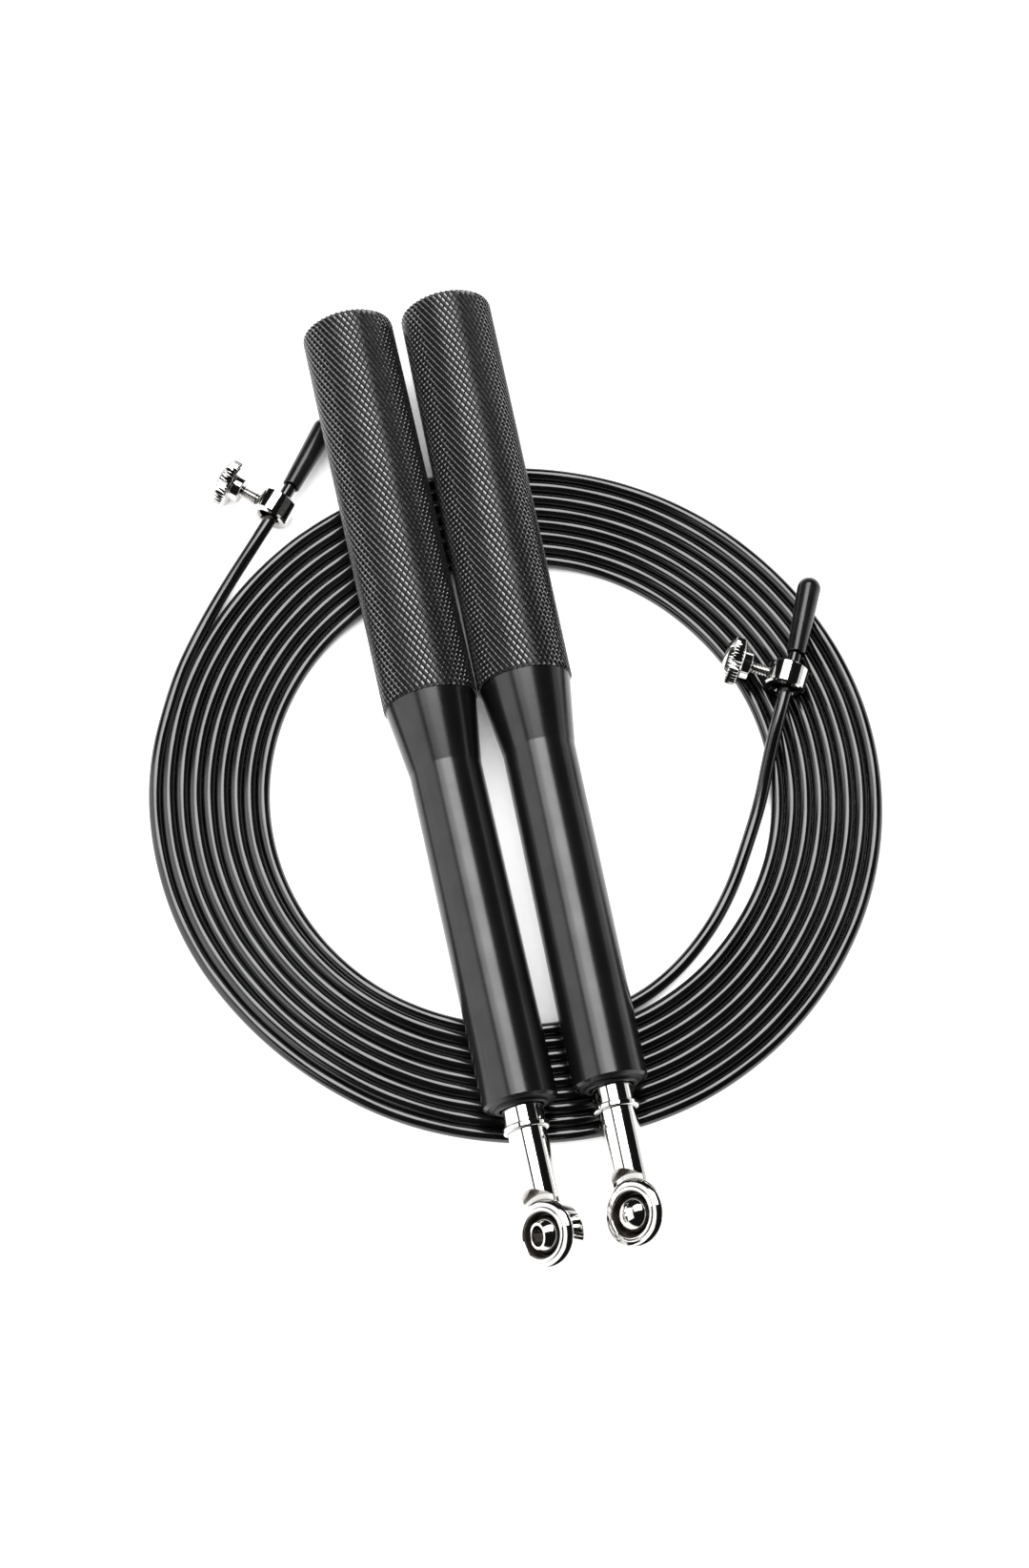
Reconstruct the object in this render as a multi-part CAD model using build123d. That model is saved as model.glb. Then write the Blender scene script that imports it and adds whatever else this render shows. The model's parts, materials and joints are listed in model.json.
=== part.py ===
from build123d import *
import os
from math import atan, cos, degrees, pi, radians, sin, tan

# Speed jump rope: a plastic-coated steel cable in a flat coil, a stop clamp and a vinyl cap on each of
# its ends, and two aluminium ball-bearing handles that lie side by side on the coil.
#
# Millimetres. The origin is the middle of the coil's opening, on the surface that the coil lies on.
# +Z is up and +Y runs along the handles towards their grip ends.

# ---------------------------------------------------------------- driving dimensions

# cable and coil
CABLE_R = 1.2
COIL_HEIGHT = 2 * CABLE_R
COIL_STEP = 30                      # degrees between the radii below, the first one on +X
COIL_OUTER = (64.8, 64.2, 64.5, 64.7, 65.0, 66.4, 65.3, 64.0, 64.2, 65.2, 65.7, 65.4)
COIL_INNER = (45.5, 44.9, 44.4, 44.3, 44.2, 44.1, 44.2, 44.5, 44.3, 44.0, 45.6, 45.6)
CORNER_SHARE = 0.45                 # share of the shorter run that each arc of a route takes

# handle: lengths run from the grip end, at 0, towards the swivel eye
GRIP_R = 8.5
GRIP_LENGTH = 77.1
GRIP_RIM = 1.0
TAPER_END = 90.0
BARREL_R = 6.43
BARREL_CHAMFER = 0.5
HANDLE_LENGTH = 151.4
BORE_R = 4.6
POCKET_R = 5.5
NESTING_GAP = 0.02                  # between turned parts that sit in each other
PLUG_R = 6.5
PLUG_DEPTH = 6.0
PLUG_RECESS = 0.5
BUSH_LENGTH = 2.4
BUSH_HOLE_R = 3.8
BUSH_LIP_R = 4.65
BUSH_LIP = 0.6

# how the handles lie on the coil
REST_GAP = 0.15
REST_STATION = 50.0                 # where the grip meets the coil's inner edge
HANDLE_SLOPE = atan((GRIP_R - BARREL_R) / (HANDLE_LENGTH - REST_STATION))
GRIP_END_Z = COIL_HEIGHT + REST_GAP + GRIP_R + REST_STATION * tan(HANDLE_SLOPE)
HANDLES = {                         # x and y of the grip end's centre, splay, ball turn from upright
    "left": (-13.3, 92.35, 0.62, 58.5),
    "right": (5.4, 92.75, -0.58, -59.0),
}

# bearings, two to a handle, in the pocket behind the end bush
BEARING_WIDTH = 4.0
SPACER_WIDTH = 1.5
SPINDLE_R = 2.0
INNER_LAND_R = 3.25
OUTER_LAND_R = 4.3
BALL_CIRCLE_R = 3.775
BEARING_BALL_R = 0.8
GROOVE_R = 0.84
CAGE_WIDTH = 2.2
CAGE_GAP = 0.12
BALLS = 9
WASHER_WIDTH = 0.8
NUT_WIDTH = 5.0
NUT_HEX_WIDTH = 3.2
NUT_FLATS = 7.0
SPINDLE_END = 0.7                   # spindle past the lock nut

# swivel eye
BOSS_R = 2.9
BOSS_LENGTH = 0.7
NECK_R = 3.5
FLANGE_START = 3.5
FLANGE_END = 4.6
FLANGE_R = 3.95
FLANGE_EDGE = 0.3
STEM_R = 3.3
EYE_CENTRE = 22.45
EYE_R = 5.9
EYE_WIDTH = 4.4
EYE_SHOULDER = 1.0                  # rounding of the ring's outer edges
EYE_TILT = 41.0                     # of the ring's normal from upright, towards -X
WAIST_HEIGHT = 1.0                  # from the ring's middle, where the stem is milled down beside the ring
WAIST_R = 6.8                       # the milling's flat ends here and its sloping side rises from here
WAIST_TOP_R = 7.6                   # to here, at the stem's full height

# race pressed into the swivel eye's ring, its liner, and the ball that the liner holds
RACE_R = 4.6
RACE_WIDTH = 4.8
RACE_EDGE = 0.25
LINER_R = 3.85
LINER_WIDTH = 4.2
MOUTH_R = 3.7
MOUTH_END_R = 3.45
SEAT_WIDTH = 1.4
EYE_BALL_R = 3.37
EYE_BALL_LENGTH = 5.1
EYE_BALL_HOLE_R = 1.75
SEAT_GAP = 0.05

# stop clamps
COLLAR_R = 3.6
COLLAR_LENGTH = 4.4
COLLAR_HOLE_R = 2.0
COLLAR_EDGE = 0.3
COLLAR_MOUTH = 0.35
THREAD_R = 1.1
THREAD_GAP = 0.05
SCREW_TIP = 0.85                    # from the collar's axis
SCREW_HUB = 6.8
HUB_LENGTH = 1.7
HUB_R = 2.45
HEAD_LENGTH = 3.0
HEAD_R = 4.45
HEAD_EDGE = 0.5                     # bevel of the rim on the hub's side
HEAD_BEVEL = 1.0                    # and on the outer side
HEAD_DOME = 0.35
SERRATIONS = 42
SERRATION_DEPTH = 0.25
SCREW_TILT = 6.0

# vinyl caps
CAP_LENGTH = 16.0
CAP_MOUTH_R = 1.65
CAP_TIP_R = 2.15
CAP_HOLE_R = 1.22
CAP_HOLE_DEPTH = 11.5

# cable ends: a clamp's collar has its centre and the way that the cable goes through it; the route's
# points run from the coil to inside the cap
CLAMPS = {
    "outer_end": ((-32.87, 63.08, 3.65), 50.2),
    "inner_end": ((51.28, 9.31, 6.15), 62.0),
}
ROUTES = {
    "outer_end": [
        (-56.4, 32.8, 1.2), (-50.9, 41.4, 1.2), (-44.2, 49.9, 1.7), (-36.95, 57.39, 3.65),
        (-29.05, 66.89, 3.65), (-22.7, 75.67, 2.7),
    ],
    "inner_end": [
        (11.6, -43.3, 1.2), (19.9, -39.2, 1.2), (27.3, -33.1, 1.2), (33.2, -26.0, 1.2),
        (37.9, -18.2, 1.2), (41.8, -11.3, 1.6), (44.9, -4.2, 3.7), (48.7, 3.6, 5.9),
        (54.1, 13.7, 5.9), (58.4, 23.3, 5.1),
    ],
}


# ---------------------------------------------------------------- helpers


def turned(points):
    """A solid of revolution about X, from the (length, radius) corners of its half section."""
    return revolve(make_face(Polyline(*points, close=True)), axis=Axis.X, revolution_arc=360)


def ring(start, width, inner_r, outer_r):
    """A plain ring about X."""
    end = start + width
    return turned([(start, inner_r), (start, outer_r), (end, outer_r), (end, inner_r)])


def groove(middle):
    """The torus that both races' grooves are cut with."""
    return Pos(middle, 0, 0) * Rot(0, 90, 0) * Torus(BALL_CIRCLE_R, GROOVE_R)


def save(name, shape):
    export_step(shape, f"parts/{name}.step")


# ---------------------------------------------------------------- cable


def loop_of_radii(radii):
    """A closed outline in the XY plane through one radius every COIL_STEP degrees."""
    angles = [radians(COIL_STEP * i) for i in range(len(radii))]
    return make_face(Spline(*[(r * cos(a), r * sin(a)) for r, a in zip(radii, angles)], periodic=True))


def cable_coil():
    return extrude(loop_of_radii(COIL_OUTER) - loop_of_radii(COIL_INNER), amount=COIL_HEIGHT)


def corner_radii(points):
    """Each corner's arc takes CORNER_SHARE of its shorter run."""
    radii = []
    for before, corner, after in zip(points, points[1:], points[2:]):
        run_in = Vector(*corner) - Vector(*before)
        run_out = Vector(*after) - Vector(*corner)
        half_turn = radians(run_in.get_angle(run_out)) / 2
        radii.append(CORNER_SHARE * min(run_in.length, run_out.length) / tan(half_turn))
    return radii


def cable_end(name):
    points = ROUTES[name]
    radii = corner_radii(points)
    path = FilletPolyline(*points, radius=radii)
    tube = sweep(Plane(origin=path @ 0, z_dir=path % 0) * Circle(CABLE_R), path=path)
    share = tube.volume / (pi * CABLE_R**2 * path.length)
    print(f"{name}: length {path.length:.1f}, radii {[round(r) for r in radii]}, volume ratio {share:.4f}")
    return tube


def vinyl_cap(name):
    """A long soft cap over the cable's end, widening towards its round tip."""
    mouth, inside = (Vector(*p) for p in ROUTES[name][-2:])
    shoulder = CAP_LENGTH - CAP_TIP_R
    outline = Polyline(
        (CAP_HOLE_DEPTH, 0), (CAP_HOLE_DEPTH, CAP_HOLE_R), (0, CAP_HOLE_R), (0, CAP_MOUTH_R),
        (shoulder, CAP_TIP_R),
    )
    tip = ThreePointArc(
        (shoulder, CAP_TIP_R),
        (shoulder + CAP_TIP_R * cos(pi / 4), CAP_TIP_R * sin(pi / 4)),
        (CAP_LENGTH, 0),
    )
    back = Line((CAP_LENGTH, 0), (CAP_HOLE_DEPTH, 0))
    cap = revolve(make_face(outline + tip + back), axis=Axis.X, revolution_arc=360)
    along = (inside - mouth).normalized()
    return Plane(origin=mouth, x_dir=along, z_dir=Vector(0, 0, 1).cross(along).cross(along) * -1) * cap


# ---------------------------------------------------------------- stop clamps: X along the cable, screw on +Y


def collar():
    half = COLLAR_LENGTH / 2
    mouth_r = COLLAR_HOLE_R + COLLAR_MOUTH
    body = turned([
        (-half, mouth_r), (-half, COLLAR_R - COLLAR_EDGE), (COLLAR_EDGE - half, COLLAR_R),
        (half - COLLAR_EDGE, COLLAR_R), (half, COLLAR_R - COLLAR_EDGE), (half, mouth_r),
        (half - COLLAR_MOUTH, COLLAR_HOLE_R), (COLLAR_MOUTH - half, COLLAR_HOLE_R),
    ])
    tapped = Pos(0, COLLAR_R / 2, 0) * Rot(-90, 0, 0) * Cylinder(THREAD_R + THREAD_GAP, COLLAR_R)
    return body - tapped


def thumb_screw():
    """Turned about X with its tip towards the collar's axis, then swung onto +Y."""
    head = SCREW_HUB + HUB_LENGTH
    face = head + HEAD_LENGTH
    plain = turned([
        (SCREW_TIP, 0), (SCREW_TIP, THREAD_R), (SCREW_HUB, THREAD_R), (SCREW_HUB, HUB_R), (head, HUB_R),
        (head, HEAD_R - HEAD_EDGE), (head + HEAD_EDGE, HEAD_R), (face - HEAD_BEVEL, HEAD_R),
        (face, HEAD_R - HEAD_BEVEL), (face + HEAD_DOME, 0),
    ])
    outline = []
    for tooth in range(2 * SERRATIONS):
        radius = HEAD_R if tooth % 2 else HEAD_R - SERRATION_DEPTH
        angle = pi * tooth / SERRATIONS
        outline.append((radius * cos(angle), radius * sin(angle)))
    serrated = Rot(0, 90, 0) * extrude(Polygon(*outline, align=None), amount=face + HEAD_DOME)
    return Rot(0, 0, 90) * (plain & serrated)


def place_clamp(name, shape):
    centre, heading = CLAMPS[name]
    return Pos(*centre) * Rot(0, 0, heading) * Rot(SCREW_TILT, 0, 0) * shape


# ---------------------------------------------------------------- handle: X from the grip end to the eye

BUSH_START = HANDLE_LENGTH - BUSH_LENGTH
FRONT_BEARING = BUSH_START - BEARING_WIDTH
SPACER_START = FRONT_BEARING - SPACER_WIDTH
REAR_BEARING = SPACER_START - BEARING_WIDTH
WASHER_START = REAR_BEARING - WASHER_WIDTH
NUT_START = WASHER_START - NUT_WIDTH


def barrel():
    outline = make_face(Polyline(
        (0, PLUG_R), (0, GRIP_R), (GRIP_LENGTH, GRIP_R), (TAPER_END, BARREL_R),
        (HANDLE_LENGTH - BARREL_CHAMFER, BARREL_R), (HANDLE_LENGTH, BARREL_R - BARREL_CHAMFER),
        (HANDLE_LENGTH, POCKET_R), (REAR_BEARING, POCKET_R), (REAR_BEARING, BORE_R), (PLUG_DEPTH, BORE_R),
        (PLUG_DEPTH, PLUG_R), close=True,
    ))
    rim = outline.vertices().sort_by_distance((0, GRIP_R))[0]
    return revolve(fillet(rim, GRIP_RIM), axis=Axis.X, revolution_arc=360)


def end_plug():
    return turned([
        (PLUG_RECESS, 0), (PLUG_RECESS, PLUG_R - NESTING_GAP - 0.5), (PLUG_RECESS + 0.5, PLUG_R - NESTING_GAP),
        (PLUG_DEPTH, PLUG_R - NESTING_GAP), (PLUG_DEPTH, BORE_R - 1), (PLUG_RECESS + 2, BORE_R - 1),
        (PLUG_RECESS + 2, 0),
    ])


def end_bush():
    """Closes the bearing pocket round the swivel eye's neck, with a lip that stands proud of the barrel."""
    lip_end = HANDLE_LENGTH + BUSH_LIP
    return turned([
        (BUSH_START, OUTER_LAND_R), (BUSH_START, POCKET_R - NESTING_GAP),
        (HANDLE_LENGTH, POCKET_R - NESTING_GAP), (HANDLE_LENGTH, BUSH_LIP_R), (lip_end - 0.2, BUSH_LIP_R),
        (lip_end, BUSH_LIP_R - 0.2), (lip_end, BUSH_HOLE_R), (BUSH_START + 0.6, BUSH_HOLE_R),
        (BUSH_START + 0.6, OUTER_LAND_R),
    ])


def bearing(start):
    """The pieces of one deep-groove bearing."""
    middle = start + BEARING_WIDTH / 2
    balls = [
        Rot(360 * i / BALLS, 0, 0) * Pos(middle, BALL_CIRCLE_R, 0) * Sphere(BEARING_BALL_R)
        for i in range(BALLS)
    ]
    cage = ring(middle - CAGE_WIDTH / 2, CAGE_WIDTH, INNER_LAND_R + CAGE_GAP, OUTER_LAND_R - CAGE_GAP)
    for i in range(BALLS):
        cage -= Rot(360 * i / BALLS, 0, 0) * Pos(middle, BALL_CIRCLE_R, 0) * Sphere(GROOVE_R)
    inner = ring(start, BEARING_WIDTH, SPINDLE_R + NESTING_GAP, INNER_LAND_R) - groove(middle)
    outer = ring(start, BEARING_WIDTH, OUTER_LAND_R, POCKET_R - NESTING_GAP) - groove(middle)
    return {
        "outer_race": outer,
        "inner_race": inner,
        "balls": Compound(children=balls),
        "cage": cage,
    }


def lock_nut():
    """Self-locking nut: a hexagon with a round collar on its far side."""
    hexagon = extrude(RegularPolygon(NUT_FLATS / 2, 6, major_radius=False), amount=NUT_HEX_WIDTH)
    nut = Pos(NUT_START + NUT_WIDTH - NUT_HEX_WIDTH, 0, 0) * Rot(0, 90, 0) * hexagon
    nut += ring(NUT_START, NUT_WIDTH - NUT_HEX_WIDTH, SPINDLE_R + NESTING_GAP, NUT_FLATS / 2 - 0.5)
    return nut - ring(NUT_START - 1, NUT_WIDTH + 2, 0, SPINDLE_R + NESTING_GAP)


def upright(shape):
    """Swings a shape that was turned about X onto Z, at the ring's middle."""
    return Pos(HANDLE_LENGTH + EYE_CENTRE, 0, 0) * Rot(0, -90, 0) * shape


def edged(corners, rounds):
    """A half section about X with some of its (length, radius) corners rounded."""
    outline = make_face(Polyline(*corners, close=True))
    for corner, radius in rounds:
        outline = fillet(outline.vertices().sort_by_distance(corner)[0], radius)
    return revolve(outline, axis=Axis.X, revolution_arc=360)


def swivel_eye():
    """Spindle, neck, flange and stem in one with the ring that holds the race."""
    flange = HANDLE_LENGTH + FLANGE_START
    flange_end = HANDLE_LENGTH + FLANGE_END
    centre = HANDLE_LENGTH + EYE_CENTRE
    stem = edged([
        (NUT_START - SPINDLE_END, 0), (NUT_START - SPINDLE_END, SPINDLE_R), (BUSH_START, SPINDLE_R),
        (BUSH_START, BOSS_R), (BUSH_START + BOSS_LENGTH, BOSS_R), (BUSH_START + BOSS_LENGTH, NECK_R),
        (flange, NECK_R), (flange, FLANGE_R), (flange_end, FLANGE_R), (flange_end, STEM_R),
        (centre, STEM_R), (centre, 0),
    ], [((flange, FLANGE_R), FLANGE_EDGE), ((flange_end, FLANGE_R), FLANGE_EDGE)])
    milled = turned([
        (WAIST_HEIGHT, 0), (WAIST_HEIGHT, WAIST_R), (STEM_R, WAIST_TOP_R), (2 * STEM_R, WAIST_TOP_R),
        (2 * STEM_R, 0),
    ])
    half = EYE_WIDTH / 2
    ring_body = edged(
        [(-half, RACE_R - 1), (-half, EYE_R), (half, EYE_R), (half, RACE_R - 1)],
        [((-half, EYE_R), EYE_SHOULDER), ((half, EYE_R), EYE_SHOULDER)],
    )
    eye = stem - upright(milled) - upright(Rot(0, 180, 0) * milled)
    eye = eye + upright(ring_body) - upright(ring(-EYE_WIDTH, 2 * EYE_WIDTH, 0, RACE_R))
    return Rot(EYE_TILT, 0, 0) * eye


def eye_race():
    """A pressed-in ring that stands a little proud of the eye on both sides."""
    half, outer_r = RACE_WIDTH / 2, RACE_R - NESTING_GAP
    corners = [(-half, LINER_R), (-half, outer_r), (half, outer_r), (half, LINER_R)]
    return Rot(EYE_TILT, 0, 0) * upright(edged(corners, [(corner, RACE_EDGE) for corner in corners]))


def eye_liner():
    """The dark bush inside the race: a round seat for the ball, and a conical mouth on both sides."""
    half, seat, outer_r = LINER_WIDTH / 2, SEAT_WIDTH / 2, LINER_R - NESTING_GAP
    liner = turned([
        (-half, MOUTH_R), (-half, outer_r), (half, outer_r), (half, MOUTH_R), (seat, MOUTH_END_R),
        (seat, EYE_BALL_R - 1), (-seat, EYE_BALL_R - 1), (-seat, MOUTH_END_R),
    ])
    liner = upright(liner) - Pos(HANDLE_LENGTH + EYE_CENTRE, 0, 0) * Sphere(EYE_BALL_R + SEAT_GAP)
    return Rot(EYE_TILT, 0, 0) * liner


def eye_ball(turn):
    """A ball with two flats and a through hole for the cable, which points up at a turn of 0."""
    ball = Sphere(EYE_BALL_R) & Box(4 * EYE_BALL_R, 4 * EYE_BALL_R, EYE_BALL_LENGTH)
    ball -= Cylinder(EYE_BALL_HOLE_R, 4 * EYE_BALL_R)
    return Pos(HANDLE_LENGTH + EYE_CENTRE, 0, 0) * Rot(turn, 0, 0) * ball


def handle(side):
    """Every piece of one handle, in its place on the coil."""
    x, y, splay, ball_turn = HANDLES[side]
    place = Pos(x, y, GRIP_END_Z) * Rot(0, 0, splay - 90) * Rot(0, degrees(HANDLE_SLOPE), 0)
    pieces = {
        "barrel": barrel(),
        "end_plug": end_plug(),
        "end_bush": end_bush(),
        "outer_spacer": ring(SPACER_START, SPACER_WIDTH, OUTER_LAND_R + 0.3, POCKET_R - NESTING_GAP),
        "inner_spacer": ring(SPACER_START, SPACER_WIDTH, SPINDLE_R + NESTING_GAP, BOSS_R),
        "washer": ring(WASHER_START, WASHER_WIDTH, SPINDLE_R + NESTING_GAP, INNER_LAND_R - 0.1),
        "lock_nut": lock_nut(),
        "swivel_eye": swivel_eye(),
        "eye_race": eye_race(),
        "eye_liner": eye_liner(),
        "eye_ball": eye_ball(ball_turn),
    }
    for end, start in (("front", FRONT_BEARING), ("rear", REAR_BEARING)):
        for piece, shape in bearing(start).items():
            pieces[f"{end}_{piece}"] = shape
    for piece, shape in pieces.items():
        save(f"{side}_{piece}", place * shape)


# ---------------------------------------------------------------- build

os.makedirs("parts", exist_ok=True)
save("cable_coil", cable_coil())
for end_name in ROUTES:
    save(f"{end_name}_cable", cable_end(end_name))
    save(f"{end_name}_cap", vinyl_cap(end_name))
    save(f"{end_name}_collar", place_clamp(end_name, collar()))
    save(f"{end_name}_thumb_screw", place_clamp(end_name, thumb_screw()))
for side_name in HANDLES:
    handle(side_name)
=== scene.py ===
"""A speed jump rope: a coated cable in a flat coil, its stop clamps and caps, and two handles.

Metres, in the frame of the CAD model: the origin is the middle of the coil's opening on the
floor, +Z is up and +Y runs along the handles towards their grip ends.
"""

import json
import math
import random

import bmesh
import bpy
from mathutils import Matrix, Vector


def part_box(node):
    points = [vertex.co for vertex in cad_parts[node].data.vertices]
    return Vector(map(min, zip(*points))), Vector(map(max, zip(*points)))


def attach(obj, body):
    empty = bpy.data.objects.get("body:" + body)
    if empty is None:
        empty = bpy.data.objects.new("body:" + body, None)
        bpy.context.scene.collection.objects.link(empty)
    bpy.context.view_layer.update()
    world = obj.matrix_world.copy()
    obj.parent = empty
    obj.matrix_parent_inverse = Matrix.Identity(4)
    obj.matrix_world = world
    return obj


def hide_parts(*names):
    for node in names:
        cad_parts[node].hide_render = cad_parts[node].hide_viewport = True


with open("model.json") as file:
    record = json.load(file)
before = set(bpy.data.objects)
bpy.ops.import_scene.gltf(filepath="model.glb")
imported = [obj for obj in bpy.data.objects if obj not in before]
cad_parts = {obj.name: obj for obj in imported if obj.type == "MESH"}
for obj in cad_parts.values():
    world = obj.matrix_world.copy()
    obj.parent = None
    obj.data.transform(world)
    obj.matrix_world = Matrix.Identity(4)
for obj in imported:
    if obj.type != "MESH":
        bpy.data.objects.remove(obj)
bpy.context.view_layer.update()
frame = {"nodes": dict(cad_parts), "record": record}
MM = 0.001
CM_PER_METRE = 100
JOINTS = {joint["name"]: joint for joint in frame["record"]["behaviour"]["joints"]}

# ---------------------------------------- camera, lights and floor

CAMERA_PLACE = (-0.0378, -0.1795, 0.4577)
CAMERA_AIM = (-0.0002, 0.0016, 0.0)
CAMERA_LENS = 63.33
FLOOR_SIZE = 40.0
FLOOR_GLOW = 1.0                    # of the light table
FLOOR_GAP = 0.015                   # reach of the painted shade that darkens gaps too narrow for light
FLOOR_GAP_RAYS = 12
CREVICE = 0.007                     # reach of the painted shade, standing also for grime, in the plated pieces' holes and corners
CREVICE_RAYS = 4
KEY_TILT = math.atan(0.45)          # of the two key lights, which hang a metre up


def aimed(place, aim):
    """A world matrix at a place whose -Z looks at the aim."""
    turn = (Vector(aim) - Vector(place)).to_track_quat("-Z", "Y")
    return Matrix.Translation(place) @ turn.to_matrix().to_4x4()


def make_camera():
    data = bpy.data.cameras.new("camera")
    data.lens = CAMERA_LENS
    data.clip_start, data.clip_end = 0.01, 20
    camera = bpy.data.objects.new("camera", data)
    camera.matrix_world = aimed(CAMERA_PLACE, CAMERA_AIM)
    bpy.context.scene.collection.objects.link(camera)
    bpy.context.scene.camera = camera


def make_softbox(name, place, size, radiance, tilt=None):
    """A rectangular light that faces the middle, or down with a tilt towards the camera."""
    data = bpy.data.lights.new(name, "AREA")
    data.shape = "RECTANGLE"
    data.size, data.size_y = size
    data.energy = radiance * math.pi * size[0] * size[1]
    light = bpy.data.objects.new(name, data)
    if tilt is None:
        light.matrix_world = aimed(place, (0, 0, 0))
    else:
        light.matrix_world = Matrix.Translation(place) @ Matrix.Rotation(-tilt, 4, "X")
    bpy.context.scene.collection.objects.link(light)


def make_lights():
    make_softbox("key_softbox", (0.08, 0.45, 1.0), (0.58, 0.7), 6.3, KEY_TILT)
    make_softbox("key_edge", (-0.38, 0.45, 1.0), (0.34, 0.7), 3.6, KEY_TILT)
    make_softbox("left_panel", (-1.2, 0.1, 0.65), (1.6, 1.25), 1.5)
    make_softbox("right_panel", (1.4, 0.0, 0.3), (1.6, 0.3), 0.8)
    make_world()
    bpy.context.scene.view_settings.view_transform = "Standard"


def make_world():
    """A dark studio with a pale horizon."""
    world = bpy.data.worlds.new("studio")
    world.use_nodes = True
    tree = world.node_tree
    height = tree.nodes.new("ShaderNodeSeparateXYZ")
    shade = tree.nodes.new("ShaderNodeValToRGB")
    low, high = shade.color_ramp.elements
    low.position, low.color = 0.05, (0.9, 0.9, 0.9, 1)
    high.position, high.color = 0.12, (0.008, 0.008, 0.008, 1)
    tree.links.new(tree.nodes.new("ShaderNodeTexCoord").outputs["Generated"], height.inputs[0])
    tree.links.new(height.outputs["Z"], shade.inputs["Fac"])
    tree.links.new(shade.outputs["Color"], tree.nodes["Background"].inputs["Color"])
    bpy.context.scene.world = world


# ---------------------------------------- handle, in millimetres from the grip end

HANDLE_LENGTH = 151.4
GRIP_R = 8.5
GRIP_LENGTH = 77.1
GRIP_RIM = 1.0
SHOULDER_R = 8.16                   # where the taper leaves the knurl
TAPER_END = 90.0
BARREL_R = 6.43
BARREL_CHAMFER = 0.5
BORE_R = 4.6
POCKET_R = 5.5
POCKET_START = 137.5                # behind the rear bearing
WEAR_DEPTH = 0.14                   # below the grip's radius, where the wear of the crests begins
BARE_DEPTH = 0.01                   # and where it is full
PLUG_R = 6.5
PLUG_DEPTH = 6.0
PLUG_RECESS = 0.5
PLUG_PLATE = 2                      # thickness of its end
PLUG_BORE_R = BORE_R - 1
BUSH_START = 149.0
BUSH_INNER_R = 4.3
BUSH_HOLE_R = 3.8
BUSH_LIP_R = 4.65
BUSH_LIP = 0.6
BUSH_LEDGE = 0.6                    # thickness of the inner edge
NESTING_GAP = 0.02
BARREL_CREASE = math.radians(5)
TURNED_COLUMNS = 128
EVEN_NORMALS_WEIGHT = 80            # how far large faces win over small ones

# ---------------------------------------- material nodes


class Shader:
    """A material under construction, with one short call for each node."""

    def __init__(self, name, colour, roughness, metallic=0.0):
        self.material = bpy.data.materials.new(name)
        self.material.use_nodes = True
        self.tree = self.material.node_tree
        self.surface = self.tree.nodes["Principled BSDF"]
        self.set("Base Color", (*colour, 1))
        self.set("Roughness", roughness)
        self.set("Metallic", metallic)
        self.relief = None

    def set(self, socket, value):
        self.surface.inputs[socket].default_value = value

    def node(self, kind, **inputs):
        """A new node with its inputs fed by name, underscores standing for spaces."""
        made = self.tree.nodes.new("ShaderNode" + kind)
        for key, value in inputs.items():
            place = key if key in made.inputs else key.replace("_", " ")
            self.feed(made, place, value)
        return made

    def feed(self, made, socket, value):
        """A link from a socket, or a plain value."""
        if isinstance(value, bpy.types.NodeSocket):
            self.tree.links.new(value, made.inputs[socket])
        else:
            made.inputs[socket].default_value = value

    def place(self, kind="Object"):
        return self.tree.nodes.new("ShaderNodeTexCoord").outputs[kind]

    def split(self, vector):
        """The three parts of a vector."""
        made = self.node("SeparateXYZ", Vector=vector)
        return [made.outputs[index] for index in range(3)]

    def stretched(self, scale):
        """The coordinates scaled along each axis, in repeats to a metre."""
        return self.node("Mapping", Vector=self.place(), Scale=scale).outputs["Vector"]

    def noise(self, scale, detail, where=None):
        made = self.node("TexNoise", Scale=scale, Detail=detail)
        self.feed(made, "Vector", where or self.place())
        return made.outputs["Fac"]

    def math(self, operation, first, second=0.0, third=0.0):
        made = self.tree.nodes.new("ShaderNodeMath")
        made.operation = operation
        for index, value in enumerate((first, second, third)):
            self.feed(made, index, value)
        return made.outputs[0]

    def spread(self, value, low, high):
        """A value from 0 to 1 spread from low to high."""
        made = self.node("MapRange", Value=value)
        made.inputs["To Min"].default_value = low
        made.inputs["To Max"].default_value = high
        return made.outputs["Result"]

    def ramp(self, value, *stops):
        """A colour ramp from (place, grey or colour) stops."""
        made = self.node("ValToRGB", Fac=value)
        points = made.color_ramp.elements
        while len(points) < len(stops):
            points.new(0.5)
        for point, (place, colour) in zip(points, stops):
            point.position = place
            point.color = (*colour, 1) if isinstance(colour, tuple) else (colour, colour, colour, 1)
        return made.outputs["Color"]

    def openness(self, distance, rays):
        """How open the surface is within a distance: 0 in a deep crevice, 1 outside."""
        made = self.node("AmbientOcclusion", Distance=distance)
        made.samples = rays
        return made.outputs["AO"]

    def multiply(self, colour, shade):
        made = self.node("MixRGB", Fac=1.0, Color1=colour, Color2=shade)
        made.blend_type = "MULTIPLY"
        return made.outputs["Color"]

    def drive(self, socket, value):
        self.feed(self.surface, socket, value)

    def bump(self, height, distance, strength=1.0):
        """Relief on top of the relief so far, at most a distance in metres high."""
        made = self.node("Bump", Height=height, Strength=strength, Distance=distance)
        if self.relief:
            self.tree.links.new(self.relief, made.inputs["Normal"])
        self.relief = made.outputs["Normal"]
        self.drive("Normal", self.relief)


# ---------------------------------------- materials

STRANDS = 6.0                       # of the wire rope inside the jacket
STRAND_LAY = 1.4                    # centimetres of cable from one strand to the next


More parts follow.
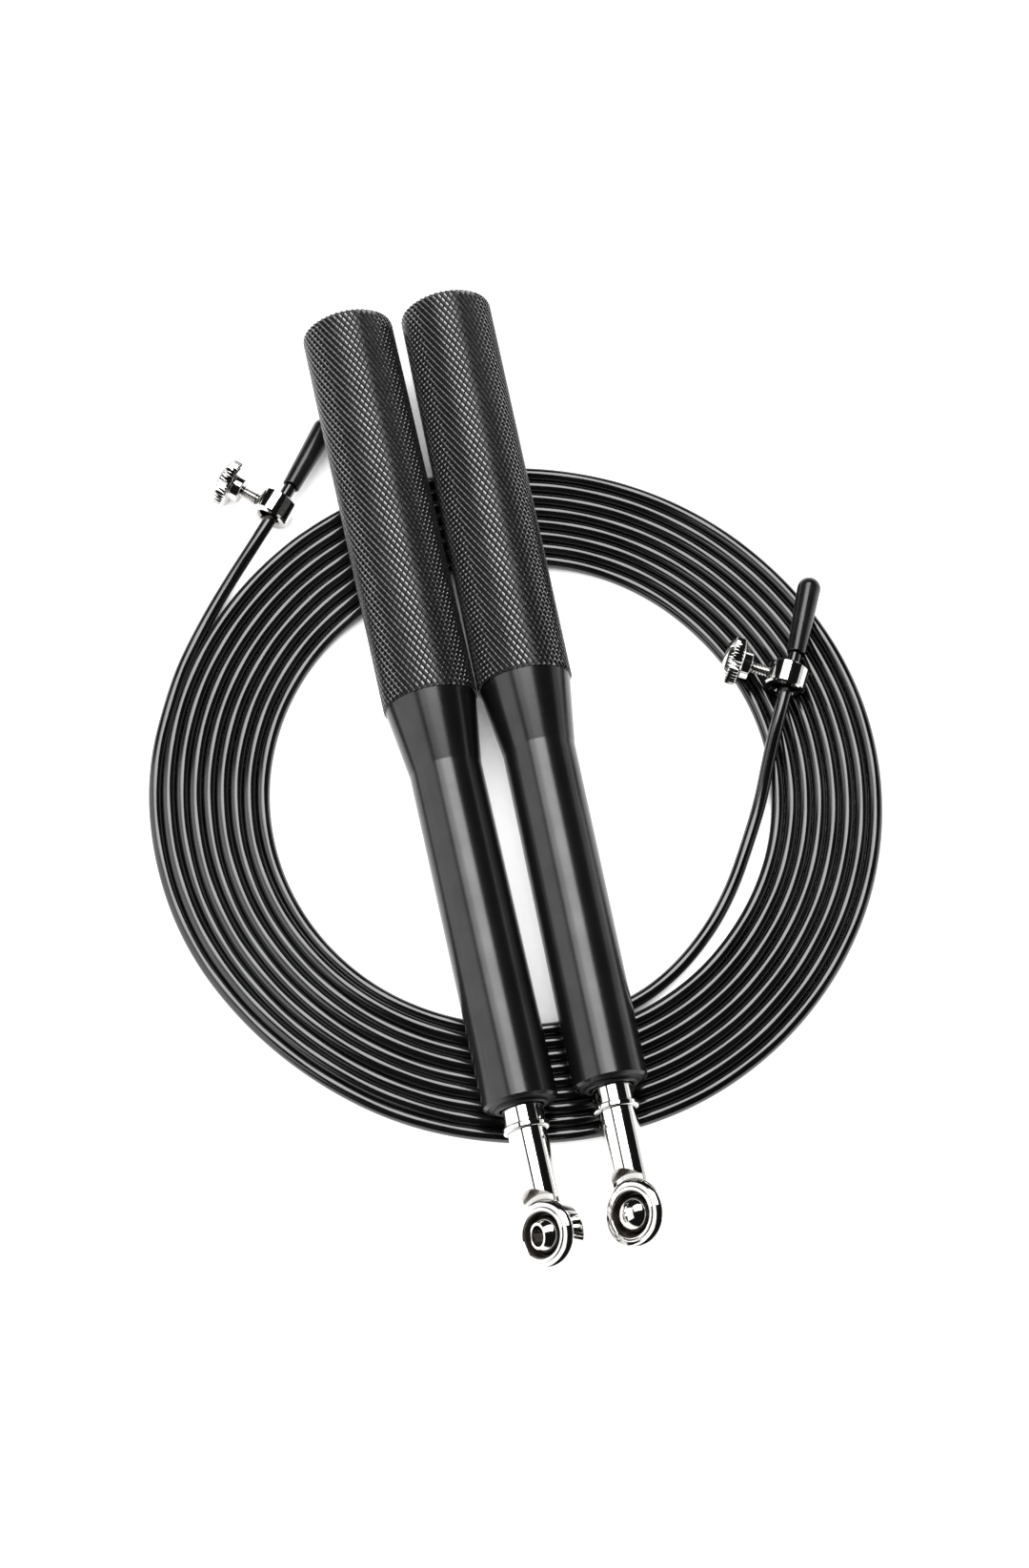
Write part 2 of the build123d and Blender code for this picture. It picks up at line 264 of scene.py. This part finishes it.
def floor_material():
    paper = Shader("studio_paper", (0.62, 0.62, 0.62), 0.9)
    paper.bump(paper.noise(900, 4), 0.00003)
    paper.set("Specular IOR Level", 0.0)
    # Painted shade: the light table's glow fades to black where the floor is closely enclosed, in
    # the narrow gaps between parts.
    glow_with_painted_gap_shade = paper.ramp(paper.openness(FLOOR_GAP, FLOOR_GAP_RAYS), (0.12, 0.0), (0.28, 1.0))
    paper.drive("Emission Color", glow_with_painted_gap_shade)
    paper.set("Emission Strength", FLOOR_GLOW)
    return paper.material


def jacket_material():
    """Glossy black PVC over a laid wire rope, whose strands show faintly through it."""
    pvc = Shader("black_pvc_jacket", (0.006, 0.006, 0.0065), 0.2)
    pvc.set("Specular IOR Level", 0.9)
    along, around, _ = pvc.split(pvc.place("UV"))
    lay = pvc.math("MULTIPLY_ADD", along, 1 / STRAND_LAY, pvc.math("MULTIPLY", around, STRANDS))
    strand = pvc.math("SINE", pvc.math("MULTIPLY", lay, math.tau))
    pvc.bump(strand, 0.00001, 0.5)
    pvc.bump(pvc.noise(2500, 3), 0.000006, 0.3)
    pvc.drive("Roughness", pvc.spread(pvc.noise(300, 4), 0.08, 0.2))
    pvc.drive("Base Color", pvc.ramp(pvc.noise(120, 5), (0.35, 0.0045), (0.75, 0.011)))
    return pvc.material


def vinyl_material():
    vinyl = Shader("dipped_vinyl", (0.012, 0.012, 0.0125), 0.3)
    vinyl.bump(vinyl.noise(900, 3), 0.00002, 0.5)
    vinyl.drive("Roughness", vinyl.spread(vinyl.noise(500, 4), 0.12, 0.26))
    vinyl.drive("Base Color", vinyl.ramp(vinyl.noise(250, 4), (0.3, 0.009), (0.8, 0.018)))
    return vinyl.material


def anodised_material():
    """Black anodised aluminium, turned about the piece's own X and worn on the knurl's crests."""
    black = Shader("black_anodised", (0.05, 0.05, 0.052), 0.25, 0.85)
    rings = black.noise(1, 2, where=black.stretched((12000, 25, 25)))
    black.bump(rings, 0.000003, 0.3)
    _, across, height = black.split(black.place())
    squares = black.math("MULTIPLY_ADD", across, across, black.math("POWER", height, 2.0))
    radius = black.math("SQRT", squares)
    crest = black.node("MapRange", Value=radius)
    crest.inputs["From Min"].default_value = (GRIP_R - WEAR_DEPTH) * MM
    crest.inputs["From Max"].default_value = (GRIP_R - BARE_DEPTH) * MM
    patchy = black.spread(black.noise(700, 4), 0.03, 0.2)
    worn = black.math("MULTIPLY", crest.outputs["Result"], patchy)
    black.drive("Roughness", black.math("MULTIPLY_ADD", worn, 0.3, black.spread(rings, 0.15, 0.28)))
    base = black.spread(black.noise(150, 4), 0.04, 0.075)
    black.drive("Base Color", black.math("ADD", base, worn))
    return black.material


def nickel_material():
    nickel = Shader("polished_nickel", (0.80, 0.79, 0.77), 0.06, 1.0)
    nickel.drive("Roughness", nickel.spread(nickel.noise(600, 5), 0.03, 0.13))
    nickel.bump(nickel.noise(350, 2), 0.00001, 0.3)
    dull, bright = (0.74, 0.73, 0.71), (0.84, 0.83, 0.81)
    plate = nickel.ramp(nickel.noise(90, 4), (0.3, dull), (0.8, bright))
    # Painted shade with grime: the plate darkens to near black in holes and corners, by how
    # enclosed the surface is there.
    openness = nickel.openness(CREVICE, CREVICE_RAYS)
    shade_and_grime = nickel.ramp(openness, (0.2, (0.05, 0.04, 0.033)), (0.65, 1.0))
    nickel.drive("Base Color", nickel.multiply(plate, shade_and_grime))
    return nickel.material


# The liner is near black as its own colour and also as painted shade for the deep recess round the
# ball.
def liner_material():
    liner = Shader("dark_liner", (0.03, 0.024, 0.02), 0.35)
    liner.bump(liner.noise(2600, 4), 0.00001, 0.5)
    liner.drive("Roughness", liner.spread(liner.noise(700, 4), 0.22, 0.45))
    dark, rubbed = (0.012, 0.009, 0.008), (0.06, 0.045, 0.036)
    liner.drive("Base Color", liner.ramp(liner.noise(500, 5), (0.3, dark), (0.8, rubbed)))
    return liner.material


def nylon_material():
    nylon = Shader("black_nylon", (0.014, 0.014, 0.015), 0.42)
    nylon.bump(nylon.noise(2200, 4), 0.00002, 0.6)
    nylon.drive("Roughness", nylon.spread(nylon.noise(400, 4), 0.32, 0.55))
    return nylon.material


def steel_material():
    steel = Shader("bearing_steel", (0.56, 0.56, 0.57), 0.14, 1.0)
    steel.drive("Roughness", steel.spread(steel.noise(700, 5), 0.08, 0.22))
    steel.bump(steel.noise(1500, 3), 0.000006, 0.4)
    return steel.material


def zinc_material():
    zinc = Shader("zinc_plate", (0.62, 0.64, 0.66), 0.3, 1.0)
    zinc.drive("Roughness", zinc.spread(zinc.noise(500, 5), 0.2, 0.42))
    blue, grey = (0.5, 0.52, 0.55), (0.68, 0.69, 0.68)
    zinc.drive("Base Color", zinc.ramp(zinc.noise(220, 5), (0.3, blue), (0.7, grey)))
    return zinc.material


def cage_material():
    cage = Shader("cage_nylon", (0.32, 0.24, 0.13), 0.45)
    cage.bump(cage.noise(1800, 4), 0.00002, 0.5)
    dark, light = (0.28, 0.2, 0.1), (0.38, 0.3, 0.17)
    cage.drive("Base Color", cage.ramp(cage.noise(260, 4), (0.3, dark), (0.7, light)))
    return cage.material


MATERIALS = {
    "cable_jacket": jacket_material(),
    "vinyl": vinyl_material(),
    "black_anodising": anodised_material(),
    "bright_nickel": nickel_material(),
    "dark_liner": liner_material(),
    "black_nylon": nylon_material(),
    "bearing_steel": steel_material(),
    "zinc_plate": zinc_material(),
    "cage_nylon": cage_material(),
}


# ---------------------------------------- mesh helpers


def add_piece(name, mesh, slot, body, replaced, place=None):
    """A new piece with a slot's material that rides on a body and stands for CAD nodes."""
    made = bpy.data.objects.new(name, mesh)
    bpy.context.scene.collection.objects.link(made)
    if place:
        made.matrix_world = place
    mesh.materials.append(MATERIALS[slot])
    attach(made, body)
    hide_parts(*replaced)
    return made


def facing(origin, along):
    """A world matrix at an origin with X along a line and Z as nearly up as it can be."""
    x = Vector(along).normalized()
    y = Vector((0, 0, 1)).cross(x).normalized()
    turn = Matrix((x, y, x.cross(y))).transposed()
    return Matrix.Translation(origin) @ turn.to_4x4()


def smooth(mesh, crease):
    """Smooth shading, broken where faces meet at more than the crease's angle."""
    mesh.polygons.foreach_set("use_smooth", [True] * len(mesh.polygons))
    mesh.set_sharp_from_angle(angle=crease)
    mesh.update()
    return mesh


def even_normals(piece):
    """Flat faces keep their own normals next to small roundings."""
    weighted = piece.modifiers.new("even_normals", "WEIGHTED_NORMAL")
    weighted.keep_sharp = True
    weighted.weight = EVEN_NORMALS_WEIGHT


ARC_STEP = math.radians(15)
CREASE = math.radians(34)


def rounded(*corners):
    """The points of an outline of (length, radius, rounding) corners, rounded by tangent arcs."""
    points = []
    for index, (x, r, rounding) in enumerate(corners):
        corner = Vector((x, r))
        if not rounding:
            points.append(corner)
            continue
        before = (Vector(corners[index - 1][:2]) - corner).normalized()
        after = (Vector(corners[(index + 1) % len(corners)][:2]) - corner).normalized()
        half = before.angle(after) / 2
        centre = corner + (before + after).normalized() * rounding / math.sin(half)
        start = (corner + before * rounding / math.tan(half) - centre).normalized()
        end = (corner + after * rounding / math.tan(half) - centre).normalized()
        steps = max(2, math.ceil(start.angle(end) / ARC_STEP))
        points += [centre + rounding * start.slerp(end, step / steps) for step in range(steps + 1)]
    return points


def skin_rings(made, rings, closed=False):
    """Faces between rings of vertices; a ring of one vertex repeated closes to a point."""
    for here, there in zip(rings, rings[1:] + rings[:1] if closed else rings[1:]):
        for j in range(len(here)):
            k = (j + 1) % len(here)
            made.faces.new(dict.fromkeys((here[j], here[k], there[k], there[j])))


def ring_of(made, x, r, columns, relief=None):
    """A ring of vertices about X, in millimetres, or a repeated one on the axis."""
    if r < 0.001:
        return [made.verts.new((x * MM, 0, 0))] * columns
    ring = []
    for j in range(columns):
        turn = math.tau * j / columns
        radius = relief(x, r, turn) if relief else r
        across, up = radius * MM * math.cos(turn), radius * MM * math.sin(turn)
        ring.append(made.verts.new((x * MM, across, up)))
    return ring


def mesh_of(name, made, crease=CREASE):
    """The finished mesh of a bmesh, with its normals outwards."""
    bmesh.ops.recalc_face_normals(made, faces=made.faces)
    mesh = bpy.data.meshes.new(name)
    made.to_mesh(mesh)
    made.free()
    return smooth(mesh, crease)


def lathe(name, outline, columns, relief=None):
    """A mesh turned about X, from an outline that ends on the axis, or that closes itself."""
    made = bmesh.new()
    rings = [ring_of(made, x, r, columns, relief) for x, r in outline]
    skin_rings(made, rings, closed=outline[0][1] > 0)
    return mesh_of(name, made)


# ---------------------------------------- cable

CABLE_R = 1.2 * MM
CABLE_SIDES = 24
CABLE_RESOLUTION = 12               # points of the path to each control point
TURN_POINTS = 24
OUTER_ROUTE = [
    (-0.0564, 0.0328, 0.0012), (-0.0509, 0.0414, 0.0012), (-0.0442, 0.0499, 0.0017),
    (-0.03695, 0.05739, 0.00365), (-0.02905, 0.06689, 0.00365), (-0.0227, 0.07567, 0.0027),
]
INNER_ROUTE = [
    (0.0116, -0.0433, 0.0012), (0.0199, -0.0392, 0.0012), (0.0273, -0.0331, 0.0012),
    (0.0332, -0.0260, 0.0012), (0.0379, -0.0182, 0.0012), (0.0418, -0.0113, 0.0016),
    (0.0449, -0.0042, 0.0037), (0.0487, 0.0036, 0.0059), (0.0541, 0.0137, 0.0059),
    (0.0584, 0.0233, 0.0051),
]
# The coil runs from its outermost turn inwards. These are that turn's radius and the pitch from
# turn to turn, in millimetres, by angle from +X in degrees.
COIL_START, COIL_END = 150, 285 + 8 * 360
OUTER_TURN = [
    (150, 65.4), (180, 64.1), (220, 62.6), (250, 63.3), (290, 64.4), (330, 64.1), (360, 63.6),
    (390, 63.0), (420, 63.3), (470, 63.8), (510, 62.9),
]
PITCH = [
    (150, 2.5), (180, 2.35), (220, 2.175), (250, 2.3), (285, 2.4), (320, 2.48), (410, 2.49),
    (470, 2.6), (510, 2.5),
]
LIFT = 0.93                         # of every other turn, where the turns are crowded
CROWDED = (168, 195, 236, 252)      # angles where the lift begins, is full, still is, and has ended


def eased(share):
    """A share held between 0 and 1, with a soft start and end."""
    share = min(1.0, max(0.0, share))
    return share * share * (3 - 2 * share)


def read(stations, angle):
    """The value at an angle, eased between (angle, value) stations."""
    for (a, low), (b, high) in zip(stations, stations[1:]):
        if angle <= b:
            return low + (high - low) * eased((angle - a) / (b - a))
    return stations[-1][1]


def coil_point(angle):
    """The cable's centre at an angle in degrees, where every 360 is one more turn inwards."""
    turn, within = divmod(angle - COIL_START, 360)
    within += COIL_START
    radius = read(OUTER_TURN, within) - turn * read(PITCH, within)
    radius /= math.cos(math.pi / TURN_POINTS)
    rise, top, fall, end = CROWDED
    bump = min(eased((within - rise) / (top - rise)), eased((end - within) / (end - fall)))
    height = CABLE_R + (LIFT * MM * bump if turn % 2 else 0)
    turned = math.radians(angle)
    return (radius * MM * math.cos(turned), radius * MM * math.sin(turned), height)


def cable_points():
    """From inside the outer end's cap, round the coil, to inside the inner end's cap."""
    step = 360 // TURN_POINTS
    turns = [coil_point(angle) for angle in range(COIL_START + step, COIL_END - step // 2, step)]
    return OUTER_ROUTE[::-1] + turns + INNER_ROUTE


def spline_points(controls, resolution):
    """Points along the smooth line that a list of control points gives."""
    curve = bpy.data.curves.new("cable_line", "CURVE")
    curve.dimensions = "3D"
    curve.resolution_u = resolution
    spline = curve.splines.new("NURBS")
    spline.points.add(len(controls) - 1)
    for point, place in zip(spline.points, controls):
        point.co = (*place, 1)
    spline.order_u = 3
    spline.use_endpoint_u = True
    line = bpy.data.objects.new("cable_line", curve)
    mesh = bpy.data.meshes.new_from_object(line)
    points = [vertex.co.copy() for vertex in mesh.vertices]
    bpy.data.objects.remove(line)
    bpy.data.meshes.remove(mesh)
    bpy.data.curves.remove(curve)
    return points


def tube_mesh(name, path, radius, sides):
    """A closed round tube along a path, with UVs of centimetres along it and turns round it."""
    points, lengths, run = [], [], 0.0
    for i, point in enumerate(path):
        ahead = path[min(i + 1, len(path) - 1)] - path[max(i - 1, 0)]
        side = ahead.cross(Vector((0, 0, 1))).normalized()
        over = side.cross(ahead).normalized()
        run += (point - path[i - 1]).length if i else 0
        lengths.append(run * CM_PER_METRE)
        turns = [math.tau * j / sides for j in range(sides)]
        points += [point + radius * (side * math.cos(t) + over * math.sin(t)) for t in turns]
    faces, places = [], []
    for i in range(len(path) - 1):
        for j in range(sides):
            corners = ((i, j), (i + 1, j), (i + 1, j + 1), (i, j + 1))
            faces.append([ring * sides + column % sides for ring, column in corners])
            places += [(lengths[ring], column / sides) for ring, column in corners]
    last = (len(path) - 1) * sides
    faces += [list(range(sides)), [last + j for j in reversed(range(sides))]]
    places += [(lengths[0], 0)] * sides + [(lengths[-1], 0)] * sides
    mesh = bpy.data.meshes.new(name)
    mesh.from_pydata(points, [], faces)
    layer = mesh.uv_layers.new(name="UVMap")
    layer.data.foreach_set("uv", [value for place in places for value in place])
    return smooth(mesh, CREASE)


def make_cable():
    path = spline_points(cable_points(), CABLE_RESOLUTION)
    mesh = tube_mesh("coated_cable", path, CABLE_R, CABLE_SIDES)
    solids = ("cable_coil", "outer_end_cable", "inner_end_cable")
    cable = add_piece("coated_cable", mesh, "cable_jacket", "coil", solids)


# ---------------------------------------- caps and thumb screws: X along each

CAP_LENGTH = 16.0
CAP_MOUTH_R = 1.65
CAP_TIP_R = 2.15
CAP_HOLE_R = 1.22
CAP_HOLE_DEPTH = 11.5
CAP_LIP = 0.18
CAP_COLUMNS = 64
CAP_TIP_STEP = 10                   # degrees between the rows of the round tip
DIP_WAVES = ((0.012, 3, 0.9), (0.008, 2, 1.7))  # height, waves round the cap, phase to a millimetre


def dip_marks(x, r, turn):
    """The slightly uneven skin of dipped vinyl."""
    for height, waves, phase in DIP_WAVES:
        r += height * math.sin(waves * turn + phase * x)
    return r


def make_cap(end, route):
    tip_start = CAP_LENGTH - CAP_TIP_R
    bends = [math.radians(bend) for bend in range(CAP_TIP_STEP, 90, CAP_TIP_STEP)]
    outline = [
        (CAP_HOLE_DEPTH, 0), (CAP_HOLE_DEPTH, CAP_HOLE_R),
        *rounded((0, CAP_HOLE_R, CAP_LIP), (0, CAP_MOUTH_R, CAP_LIP), (tip_start, CAP_TIP_R, 0)),
        *[(tip_start + CAP_TIP_R * math.sin(bend), CAP_TIP_R * math.cos(bend)) for bend in bends],
        (CAP_LENGTH, 0),
    ]
    mouth, inside = Vector(route[-2]), Vector(route[-1])
    place = facing(mouth, inside - mouth)
    mesh = lathe(f"{end}_vinyl_cap", outline, CAP_COLUMNS, dip_marks)
    cap = add_piece(mesh.name, mesh, "vinyl", "coil", [f"{end}_cap"], place)
    even_normals(cap)
    return cap


THREAD_R = 1.1
THREAD_PITCH = 0.5
THREAD_DEPTH = 0.2
THREAD_ROWS = 7                     # to each pitch
THREAD_FLANK = 1.5                  # steepness of the groove's sides
THREAD_CREST = 0.2                  # share left uncut
TIP_BEVEL = 0.35
SCREW_TIP = 0.85
SCREW_HUB = 6.8
HUB_LENGTH = 1.7
HUB_R = 2.45
HEAD_LENGTH = 3.0
HEAD_R = 4.45
HEAD_EDGE = 0.5
HEAD_BEVEL = 1.0
HEAD_DOME = 0.35
SERRATIONS = 42
SERRATION_DEPTH = 0.25
SCREW_COLUMNS = 4 * SERRATIONS


def screw_relief(x, r, turn):
    """The thread of the shank and the serrations of the rim."""
    if r <= THREAD_R:
        wave = abs((x / THREAD_PITCH - turn / math.tau) % 1 * 2 - 1)
        groove = min(1.0, max(0.0, THREAD_FLANK * wave - THREAD_CREST))
        run_out = eased((SCREW_HUB - x) / THREAD_PITCH)
        return r - THREAD_DEPTH * (groove * run_out)
    wave = 0.5 - 0.5 * math.cos(SERRATIONS * turn)
    return min(r, HEAD_R - SERRATION_DEPTH * wave)


def screw_outline():
    """From the tip to the outer face, with rows close enough for the thread and the serrations."""
    rows = round((SCREW_HUB - SCREW_TIP) / THREAD_PITCH * THREAD_ROWS)
    step = (SCREW_HUB - SCREW_TIP) / rows
    head = SCREW_HUB + HUB_LENGTH
    face = head + HEAD_LENGTH
    low = HEAD_R - SERRATION_DEPTH
    flat_r = HEAD_R - HEAD_BEVEL
    shares = (0.9, 0.7, 0.5, 0.25, 0)
    dome = [(face + HEAD_DOME * (1 - share**2), flat_r * share) for share in shares]
    return [
        (SCREW_TIP, 0), (SCREW_TIP, THREAD_R - TIP_BEVEL),
        *[(SCREW_TIP + step * row, THREAD_R) for row in range(1, rows + 1)],
        *rounded(
            (SCREW_HUB, THREAD_R + 0.02, 0), (SCREW_HUB, HUB_R, 0.25), (head, HUB_R, 0.2),
            (head, HEAD_R - HEAD_EDGE, 0.15), (head + HEAD_EDGE - SERRATION_DEPTH, low, 0),
            (head + HEAD_EDGE, HEAD_R, 0), (face - HEAD_BEVEL, HEAD_R, 0),
            (face - HEAD_BEVEL + SERRATION_DEPTH, low, 0), (face, flat_r, 0.3), (*dome[0], 0),
        ),
        *dome[1:],
    ]


def make_screw(end):
    low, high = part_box(f"{end}_collar")
    place = facing((Vector(low) + Vector(high)) / 2, JOINTS[f"{end}_screw_travel"]["axis"])
    mesh = lathe(f"{end}_serrated_screw", screw_outline(), SCREW_COLUMNS, screw_relief)
    body, replaced = f"{end}_screw", [f"{end}_thumb_screw"]
    screw = add_piece(mesh.name, mesh, "bright_nickel", body, replaced, place)
    even_normals(screw)
    return screw


# ---------------------------------------- handles: X from the grip end to the eye

KNURL_LINES = 50                    # each way round the grip
KNURL_STEP = 0.96                   # half of the pattern's repeat along the grip
KNURL_DEPTH = 0.3
KNURL_FADE = 1.3                    # from the end face to the full depth
KNURL_RIDGE = 0.05                  # depth of the ridges where the shallower grooves cross them
KNURL_CREST = (0.7, 0.2)            # the worn crest's length and width, as shares of its diamond's
KNURL_BURR = 0.07                   # at the end of the cut
KNURL_JITTER = 0.015


def handle_place(side):
    spin = JOINTS[f"{side}_eye_spin"]
    along = Vector(spin["axis"])
    return facing(Vector(spin["pos_m"]) - along * HANDLE_LENGTH * MM, along)


def add_to_handle(side, mesh, slot, node):
    """A piece that stands for one of a handle's CAD nodes."""
    replaced = [f"{side}_{node}"]
    piece = add_piece(mesh.name, mesh, slot, f"{side}_handle", replaced, handle_place(side))
    even_normals(piece)


def grip_point(run, turn, sink):
    """A point of the grip, by its run from the end face over the rim, its turn, and its depth."""
    bend = min(run / GRIP_RIM, math.pi / 2)
    straight = max(0.0, run - GRIP_RIM * math.pi / 2)
    x = straight + GRIP_RIM - (GRIP_RIM - sink) * math.cos(bend)
    r = GRIP_R - GRIP_RIM + (GRIP_RIM - sink) * math.sin(bend)
    return Vector((x, r * math.cos(turn), r * math.sin(turn))) * MM


class Knurl:
    """Rows of diamonds cut by deep grooves one way and shallow ones the other way.

    A place is (row, column), where one step of either is half a diamond. A diamond has its middle
    where they add up to an odd number, and grooves meet where the sum is even.
    """

    def __init__(self, made, draw):
        self.made, self.draw = made, draw
        self.columns = 2 * KNURL_LINES
        self.length = GRIP_LENGTH - GRIP_RIM + GRIP_RIM * math.pi / 2
        self.rows = round(self.length / KNURL_STEP)
        self.shared = {}

    def vertex(self, row, column, sink):
        """A vertex at a place, sunk by a share that grows to all of it behind the rim."""
        run = self.length * row / self.rows
        sink = sink * eased(run / KNURL_FADE) if sink > 0 else sink
        return self.made.verts.new(grip_point(run, math.tau * column / self.columns, sink))

    def corner(self, row, column, sink):
        """A vertex that neighbouring diamonds share."""
        key = row, column % self.columns
        if key not in self.shared:
            self.shared[key] = self.vertex(row, column, sink + self.draw.uniform(0, KNURL_JITTER))
        return self.shared[key]

    def cut(self):
        for row in range(self.rows + 1):
            for column in range((row + 1) % 2, self.columns, 2):
                if 0 < row < self.rows:
                    self.diamond(row, column)
                else:
                    self.half(row, column)

    def diamond(self, row, column):
        west, east, up, down = (
            self.corner(row + r, column + c, KNURL_DEPTH)
            for r, c in ((0, -1), (0, 1), (-1, 0), (1, 0))
        )
        start = self.corner(row - 0.5, column + 0.5, KNURL_RIDGE)
        end = self.corner(row + 0.5, column - 0.5, KNURL_RIDGE)
        low, (long, wide) = self.draw.uniform(0, KNURL_JITTER), KNURL_CREST
        crest = [
            self.vertex(row + (a + b) / 2, column + (b - a) / 2, low)
            for a, b in ((-long, wide), (-long, -wide), (long, -wide), (long, wide))
        ]
        for face in (
            crest, (east, down, crest[3], crest[0]), (up, crest[1], crest[2], west),
            (start, crest[1], crest[0]), (east, crest[0], start), (start, up, crest[1]),
            (end, crest[3], crest[2]), (down, end, crest[3]), (west, crest[2], end),
        ):
            self.made.faces.new(face)

    def half(self, row, column):
        """A diamond cut off by the end of the grip, with a burr where it meets the taper."""
        burr = -self.draw.uniform(0, KNURL_BURR) if row else 0
        tip = self.corner(row, column, burr)
        west = self.corner(row, column - 1, KNURL_DEPTH)
        east = self.corner(row, column + 1, KNURL_DEPTH)
        side = -1 if row else 1
        point = self.corner(row + side, column, KNURL_DEPTH)
        ridge = self.corner(row + side / 2, column - side / 2, KNURL_RIDGE)
        first, last = (west, east) if row else (east, west)
        for face in ((tip, point, first), (tip, point, ridge), (tip, ridge, last)):
            self.made.faces.new(face)

    def ring(self, row):
        return [self.shared[row, column] for column in range(self.columns)]


def make_barrel(side, draw):
    made = bmesh.new()
    grip = Knurl(made, draw)
    grip.cut()
    turned = rounded(
        (GRIP_LENGTH + 0.01, SHOULDER_R, 0), (TAPER_END, BARREL_R, 0),
        (HANDLE_LENGTH - BARREL_CHAMFER, BARREL_R, 0.1),
        (HANDLE_LENGTH, BARREL_R - BARREL_CHAMFER, 0.1), (HANDLE_LENGTH, POCKET_R, 0.08),
        (POCKET_START, POCKET_R, 0), (POCKET_START, BORE_R, 0), (PLUG_DEPTH, BORE_R, 0),
        (PLUG_DEPTH, PLUG_R, 0), (0, PLUG_R, 0.1), (0, PLUG_R + 0.2, 0),
    )
    rings = [ring_of(made, x, r, 2 * KNURL_LINES) for x, r in turned]
    skin_rings(made, [grip.ring(grip.rows), *rings, grip.ring(0)])
    mesh = mesh_of(f"{side}_knurled_barrel", made, BARREL_CREASE)
    add_to_handle(side, mesh, "black_anodising", "barrel")


def make_bush(side):
    lip_end = HANDLE_LENGTH + BUSH_LIP
    outer_r = POCKET_R - NESTING_GAP
    outline = rounded(
        (BUSH_START, BUSH_INNER_R, 0), (BUSH_START, outer_r, 0.1), (HANDLE_LENGTH, outer_r, 0.15),
        (HANDLE_LENGTH, BUSH_LIP_R, 0.1), (lip_end, BUSH_LIP_R, 0.25), (lip_end, BUSH_HOLE_R, 0.15),
        (BUSH_START + BUSH_LEDGE, BUSH_HOLE_R, 0), (BUSH_START + BUSH_LEDGE, BUSH_INNER_R, 0),
    )
    mesh = lathe(f"{side}_lipped_bush", outline, TURNED_COLUMNS)
    add_to_handle(side, mesh, "black_nylon", "end_bush")


def make_plug(side):
    """A moulded plug with a raised border, a shallow dish and the mark of its gate."""
    outer_r = PLUG_R - NESTING_GAP
    plate = PLUG_RECESS + PLUG_PLATE
    gate, ring, dish = (PLUG_RECESS + depth for depth in (0.42, 0.6, 0.55))
    outline = rounded(
        (gate, 0, 0), (gate, 0.45, 0.05), (ring, 0.6, 0.05),
        (dish, 4.3, 0.4), (PLUG_RECESS, 4.9, 0.25), (PLUG_RECESS, outer_r, 0.4),
        (PLUG_DEPTH, outer_r, 0.1), (PLUG_DEPTH, PLUG_BORE_R, 0.1), (plate, PLUG_BORE_R, 0),
        (plate, 0, 0),
    )
    mesh = lathe(f"{side}_dished_plug", outline, TURNED_COLUMNS)
    add_to_handle(side, mesh, "black_nylon", "end_plug")


# ---------------------------------------- floor


def make_floor():
    """A light table under everything, which isn't part of the object."""
    mesh = bpy.data.meshes.new("floor")
    half = FLOOR_SIZE / 2
    corners = [(-half, -half, 0), (half, -half, 0), (half, half, 0), (-half, half, 0)]
    mesh.from_pydata(corners, [], [(0, 1, 2, 3)])
    mesh.materials.append(floor_material())
    floor = bpy.data.objects.new("floor", mesh)
    bpy.context.scene.collection.objects.link(floor)


# ---------------------------------------- CAD nodes that keep their shape

NODE_SLOTS = {
    node: slot
    for slot, nodes in {
        "bright_nickel": ("_collar", "swivel_eye", "eye_race", "eye_ball"),
        "dark_liner": ("eye_liner",),
        "bearing_steel": ("spacer", "inner_race", "outer_race", "balls"),
        "zinc_plate": ("washer", "lock_nut"),
        "cage_nylon": ("cage",),
    }.items()
    for node in nodes
}


def finish_nodes():
    """The slots' materials on the CAD nodes that no piece replaces."""
    for name, node in frame["nodes"].items():
        for ending, slot in NODE_SLOTS.items():
            if name.endswith(ending):
                node.data.materials.clear()
                node.data.materials.append(MATERIALS[slot])


make_camera()
make_lights()
make_floor()
pieces_on_cable = []
for end, route in (("outer_end", OUTER_ROUTE), ("inner_end", INNER_ROUTE)):
    pieces_on_cable += [make_cap(end, route), make_screw(end), frame["nodes"][f"{end}_collar"]]
make_cable()
for side in ("left", "right"):
    make_barrel(side, random.Random(side))
    make_bush(side)
    make_plug(side)
finish_nodes()
